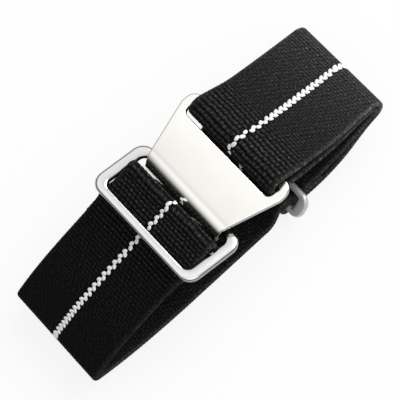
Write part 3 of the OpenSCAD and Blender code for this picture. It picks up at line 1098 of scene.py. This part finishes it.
def place_loop(loop, middle, slope, bar=None):
    """Turn a flat loop to its slope, move it into place and join its bar."""
    co = coordinates(loop)
    c, s = math.cos(slope), math.sin(slope)
    x, z = co[:, 0].copy(), co[:, 2].copy()
    co[:, 0] = middle[0] + c * x + s * z
    co[:, 2] = middle[1] - s * x + c * z
    put_coordinates(loop, co)
    if bar:
        only(loop)
        bar.select_set(True)
        bpy.ops.object.join()
    put_coordinates(loop, coordinates(loop) * MM)
    outward(loop)
    bpy.ops.object.shade_smooth_by_angle(angle=SMOOTH_BELOW)


class BAND_OT_ring(bpy.types.Operator):
    """Form the ring and the centre bar that the webbing is sewn round"""
    bl_idname = "band.ring"
    bl_label = "Form the ring"

    def execute(self, context):
        metal = context.scene.band.metal
        loop = frame_loop("ring_with_centre_bar", metal.ring_length / MM,
                          metal.ring_width / MM, bar=1.75, side=2.35,
                          thick=metal.ring_thickness / MM, r_out=2.6, r_in=1.3, edge=0.6)
        bar = cross_bar(CENTRE_BAR, d=1.3, length=23.2)
        place_loop(loop, (HOOKED_BAR + FAR_BAR) / 2, metal.ring_slope, bar)
        give(loop, "polished_ring_steel", "ring", "ring_steel", "ring_frame")
        return {"FINISHED"}


# The slider's play to the near side, its wire, and its middle's place past the sewn bar
SLIDER_OFFSET = -0.3
SLIDER_THICK = 1.06
SLIDER_REACH = 1.95 * heading(42)


class BAND_OT_slider(bpy.types.Operator):
    """Form the slider's wire loop"""
    bl_idname = "band.slider"
    bl_label = "Form the slider"

    def execute(self, context):
        metal = context.scene.band.metal
        loop = frame_loop("slider_loop", metal.slider_length / MM, metal.slider_width / MM,
                          bar=1.1, side=2.15, thick=SLIDER_THICK, r_out=1.9, r_in=0.5,
                          edge=0.42)
        edit(loop)
        pick_all()
        bpy.ops.transform.translate(value=(0, SLIDER_OFFSET, 0))
        leave_edit()
        place_loop(loop, SEWN_BAR + SLIDER_REACH, metal.slider_slope)
        give(loop, "polished_slider_steel", "slider", "ring_steel", "slider_frame")
        return {"FINISHED"}


# How bright the plate is painted along the band: a painted reflection of the studio's
# darker walls in its bend
PLATE_PAINTED_REFLECTION = ((-3.2, 0.98), (-1.2, 0.98), (-0.6, 1.01), (-0.15, 0.81), (0.6, 0.91),
               (3.0, 0.95), (6.5, 1.01), (12.0, 1.01))


class BAND_OT_finishes(bpy.types.Operator):
    """Mix the finishes of the webbing, line, metal and thread"""
    bl_idname = "band.finishes"
    bl_label = "Mix the finishes"

    def execute(self, context):
        colours = context.scene.band.colours
        webbing_finish(colours)
        line_finish(colours)
        metal_finish("satin_plate_steel", colours.plate, rough=(0.16, 0.21), grain=0.1,
                     rim_shade=0.03, painted_reflection=PLATE_PAINTED_REFLECTION)
        metal_finish("polished_ring_steel", colours.ring, rough=(0.1, 0.17), grain=0.05,
                     rim_shade=0.05)
        metal_finish("polished_slider_steel", colours.ring, rough=(0.44, 0.54),
                     grain=0.08, rim_shade=0.5, bare=0.75)
        thread_finish()
        return {"FINISHED"}


# Stage

# The camera: angles in degrees, distance and shift in millimetres, focal length in pixels
CAMERA_TILT = 22.76
CAMERA_TURN = -8.74
CAMERA_ROLL = 34.39
CAMERA_SHIFT = (1.19, -2.01)
CAMERA_FOCAL = 2337.6
CAMERA_FAR = 414.6
IMAGE_WIDTH = 400
SENSOR_WIDTH = 36.0

# Each lamp's place and size in metres, and its power in watts
LAMPS = (((0.62, 0.0, 0.36), 0.6, 5.2), ((-0.1, -0.5, 0.55), 0.8, 1.2))

# How much the floor shines for the camera and in the metal, and the light of the room
FLOOR_SEEN = 0.84
FLOOR_MIRRORED = 0.3
ROOM_LIGHT = 0.5
WALLS = (0.075, 0.066, 0.072)


class BAND_OT_stage(bpy.types.Operator):
    """Set the pale floor, the soft lamps and the camera"""
    bl_idname = "band.stage"
    bl_label = "Set the stage"

    def execute(self, context):
        self.floor()
        self.world(context.scene)
        for place, size, watts in LAMPS:
            self.lamp(place, size, watts)
        self.camera(context.scene)
        context.scene.view_settings.view_transform = "Standard"
        return {"FINISHED"}

    def floor(self):
        """Pale floor that shines a little, so that it shows nearly white."""
        clear_selection()
        bpy.ops.mesh.primitive_plane_add(size=0.5, location=(0, 0, 0))
        floor = bpy.context.object
        floor.name = "pale_floor"
        material = bpy.data.materials.new("pale_floor")
        tree = empty_tree(material)
        lit = add(tree, "BsdfDiffuse", Color=(0.93, 0.935, 0.925, 1))
        glow = add(tree, "Emission", Color=(1, 1, 0.995, 1), Strength=1.0)
        rays = add(tree, "LightPath").node.outputs
        share = None
        for ray, strength in (("Is Camera Ray", FLOOR_SEEN),
                              ("Is Glossy Ray", FLOOR_MIRRORED)):
            part = add(tree, "Math", operation="MULTIPLY_ADD").node
            tree.links.new(rays[ray], part.inputs[0])
            part.inputs[1].default_value, part.inputs[2].default_value = strength, 0.0
            if share:
                tree.links.new(share, part.inputs[2])
            share = part.outputs[0]
        add(tree, "OutputMaterial", Surface=mix_shaders(tree, share, lit, glow))
        floor.data.materials.append(material)

    def world(self, scene):
        """White room for the camera, with darker walls where metal mirrors it."""
        scene.world = bpy.data.worlds.new("studio")
        tree = empty_tree(scene.world)
        height = add(tree, "SeparateXYZ", "Z", Vector=add(tree, "TexCoord", "Generated"))
        walls = ramp(tree, height, WALLS, 1, at=(0.25, 0.88))
        walls.node.color_ramp.interpolation = "EASE"
        soft = add(tree, "Background", Color=(1, 1, 1, 1), Strength=ROOM_LIGHT)
        room = add(tree, "Background", Color=walls, Strength=1.0)
        white = add(tree, "Background", Color=(1, 1, 1, 1), Strength=1.0)
        rays = add(tree, "LightPath").node.outputs
        shiny = mix_shaders(tree, rays["Is Glossy Ray"], soft, room)
        seen = mix_shaders(tree, rays["Is Camera Ray"], shiny, white)
        add(tree, "OutputWorld", Surface=seen)

    def lamp(self, place, size, watts):
        """Square lamp that points at the band."""
        clear_selection()
        bpy.ops.object.light_add(type="AREA", location=place)
        lamp = bpy.context.object
        lamp.data.size = size
        lamp.data.energy = watts
        aim = Vector((0, 0, 0.005)) - Vector(place)
        lamp.rotation_euler = aim.to_track_quat("-Z", "Y").to_euler()

    def camera(self, scene):
        """Camera at the photograph's angle, turned about its own axis by the roll."""
        t, a = math.radians(CAMERA_TILT), math.radians(CAMERA_TURN)
        roll = math.radians(CAMERA_ROLL)
        back = Vector((math.sin(t) * math.sin(a), -math.sin(t) * math.cos(a), math.cos(t)))
        up0 = Vector((-math.sin(a) * math.cos(t), math.cos(a) * math.cos(t), math.sin(t)))
        right0 = up0.cross(back).normalized()
        right = math.cos(roll) * right0 - math.sin(roll) * up0
        up = math.sin(roll) * right0 + math.cos(roll) * up0
        eye = (CAMERA_FAR * back - CAMERA_SHIFT[0] * right - CAMERA_SHIFT[1] * up) * MM
        clear_selection()
        bpy.ops.object.camera_add(location=eye)
        camera = bpy.context.object
        camera.rotation_euler = Matrix((right, up, back)).transposed().to_euler()
        camera.data.sensor_width = SENSOR_WIDTH
        camera.data.lens = CAMERA_FOCAL / IMAGE_WIDTH * SENSOR_WIDTH
        camera.data.clip_start = 0.01
        scene.camera = camera


class BAND_PT_panel(bpy.types.Panel):
    """Lists the steps that build the band"""
    bl_idname = "BAND_PT_panel"
    bl_label = "Watch Band"
    bl_space_type = "VIEW_3D"
    bl_region_type = "UI"
    bl_category = "Watch Band"

    def draw(self, context):
        layout = self.layout
        settings = context.scene.band
        for group in (settings.webbing, settings.metal, settings.colours):
            box = layout.box()
            for key in group.__annotations__:
                box.prop(group, key)
        layout.prop(settings, "stitches")
        for step in STEPS:
            layout.operator(step)


CLASSES = (BandWebbing, BandMetal, BandColours, BandSettings, BAND_OT_finishes,
           BAND_OT_webbing, BAND_OT_centre_line, BAND_OT_stitches, BAND_OT_hook_plate,
           BAND_OT_ring, BAND_OT_slider, BAND_OT_stage, BAND_PT_panel)
STEPS = ("band.finishes", "band.webbing", "band.centre_line", "band.stitches",
         "band.hook_plate", "band.ring", "band.slider", "band.stage")


def register():
    for cls in CLASSES:
        bpy.utils.register_class(cls)
    bpy.types.Scene.band = PointerProperty(type=BandSettings)


def unregister():
    del bpy.types.Scene.band
    for cls in reversed(CLASSES):
        bpy.utils.unregister_class(cls)


def main():
    register()
    bpy.ops.band.finishes()
    bpy.ops.band.webbing()
    bpy.ops.band.centre_line()
    bpy.ops.band.stitches()
    bpy.ops.band.hook_plate()
    bpy.ops.band.ring()
    bpy.ops.band.slider()
    bpy.ops.band.stage()
    bpy.context.view_layer.update()


if __name__ == "__main__":
    main()
